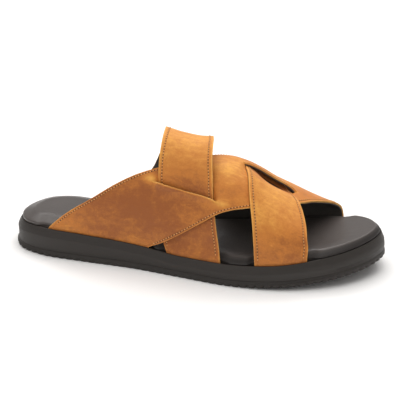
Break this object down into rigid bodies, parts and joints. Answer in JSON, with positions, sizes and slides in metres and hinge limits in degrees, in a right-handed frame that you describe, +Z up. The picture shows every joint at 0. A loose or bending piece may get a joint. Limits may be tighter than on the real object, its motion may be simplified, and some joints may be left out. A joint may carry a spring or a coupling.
{
  "type": "slide sandal",
  "caption": "Backless leather slide sandal for a right foot: wide crossing straps threaded through slits, standing in the rimmed cup of a black moulded sole.",
  "frame": {"origin": "on the floor, under the middle of the sandal's box", "axes": "+X from heel to toe, +Y towards the inner side of the foot, +Z up"},
  "size_m": [0.2948, 0.1068, 0.0992],
  "materials": {
    "outsole_rubber": "matte black moulded rubber",
    "midsole_foam": "matte black moulded foam",
    "footbed_leather": "smooth matte black leather",
    "strap_leather": "tan oiled leather, pull-up finish, light stitching along the edges"
  },
  "bodies": {
    "root": {"outsole": "outsole_rubber", "midsole": "midsole_foam", "footbed": "footbed_leather", "upper": "strap_leather"}
  },
  "joints": []
}
